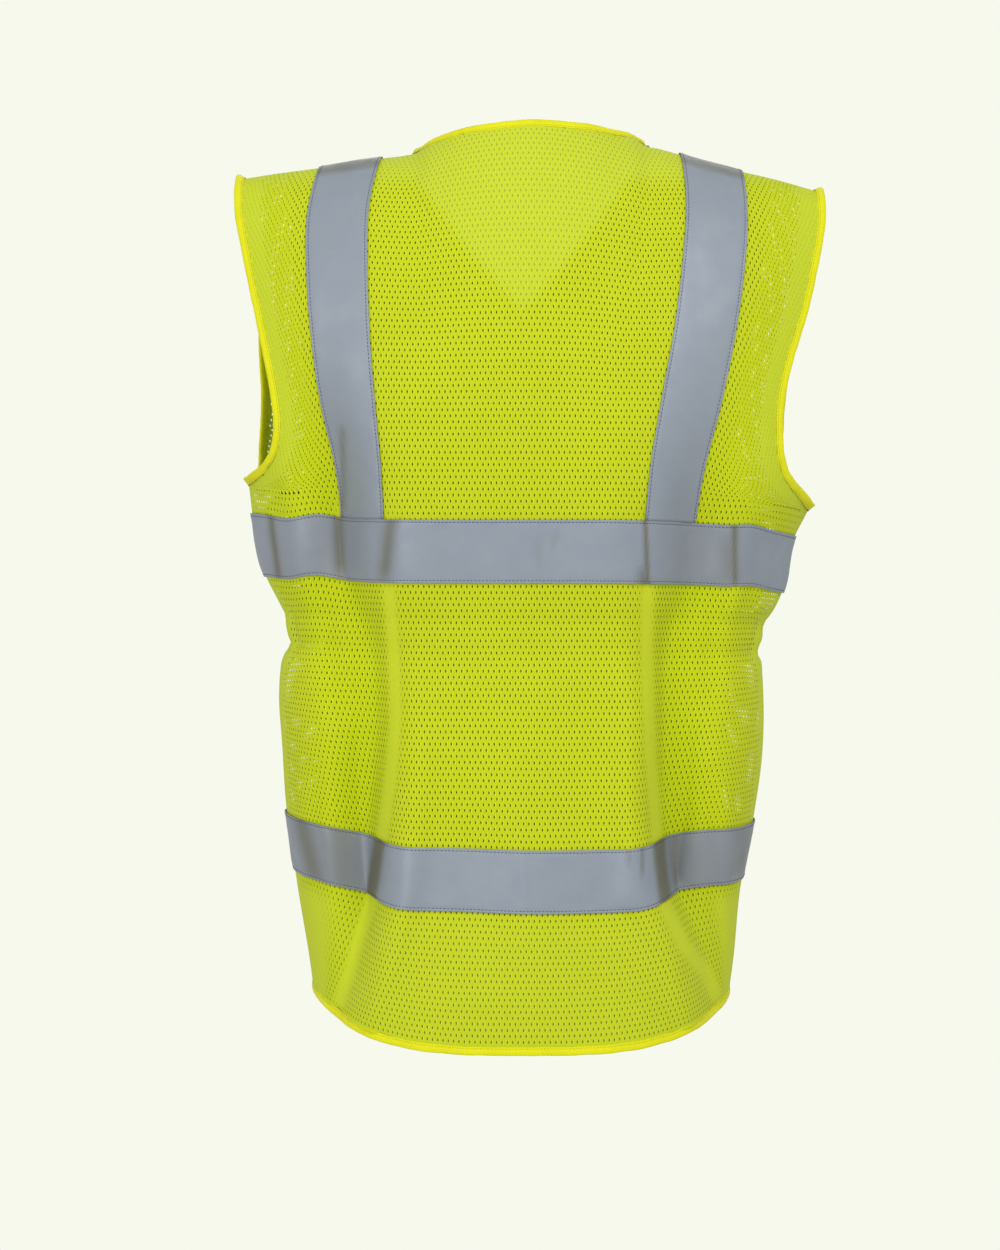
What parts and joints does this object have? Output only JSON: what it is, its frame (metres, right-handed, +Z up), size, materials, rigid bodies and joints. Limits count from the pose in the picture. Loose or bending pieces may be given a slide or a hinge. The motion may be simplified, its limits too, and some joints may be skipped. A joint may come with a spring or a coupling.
{
  "type": "sleeveless open-mesh safety vest, filled out as worn",
  "caption": "Hip-length high-visibility vest of open lime mesh with grey reflective bands and shoulder strips, bound edges and a front zip.",
  "frame": {"origin": "midway between the two shoulder seams, level with the strips where they cross the seams: where the wearer's shoulders hold the vest up", "axes": "+Z up the wearer, -Y out of the wearer's back, +Y out of the front with its zip, +X to the wearer's right"},
  "size_m": [0.4859, 0.2823, 0.7452],
  "materials": {
    "lime_mesh": "matt knitted mesh with open holes",
    "yellow_binding": "smooth woven binding",
    "retroreflective_tape": "grey retroreflective tape, satin",
    "lime_elastic": "woven elastic",
    "zip_tape": "woven zip tape",
    "zip_chain": "moulded teeth",
    "zip_metal": "dark enamel on cast metal"
  },
  "bodies": {
    "vest": {"back_panel": "lime_mesh", "front_left": "lime_mesh", "front_right": "lime_mesh", "chest_band_back": "retroreflective_tape", "chest_band_left": "retroreflective_tape", "chest_band_right": "retroreflective_tape", "lower_band_back": "retroreflective_tape", "lower_band_left": "retroreflective_tape", "lower_band_right": "retroreflective_tape", "shoulder_strip_left": "retroreflective_tape", "shoulder_strip_right": "retroreflective_tape", "neck_binding": "yellow_binding", "armhole_binding_left": "yellow_binding", "armhole_binding_right": "yellow_binding", "hem_binding": "yellow_binding", "waist_elastic_left": "lime_elastic", "waist_elastic_right": "lime_elastic", "zip_tape_left": "zip_tape", "zip_tape_right": "zip_tape", "zip_chain": "zip_chain", "zip_slider": "zip_metal", "zip_box": "zip_metal"},
    "zip_pull": {"zip_pull": "zip_metal"}
  },
  "joints": [
    {"name": "zip_pull_hinge", "type": "hinge", "parent": "vest", "child": "zip_pull", "pos_m": [0, 0.12394, -0.11066], "axis": [1, 0, 0], "range_deg": [0, 140]}
  ]
}
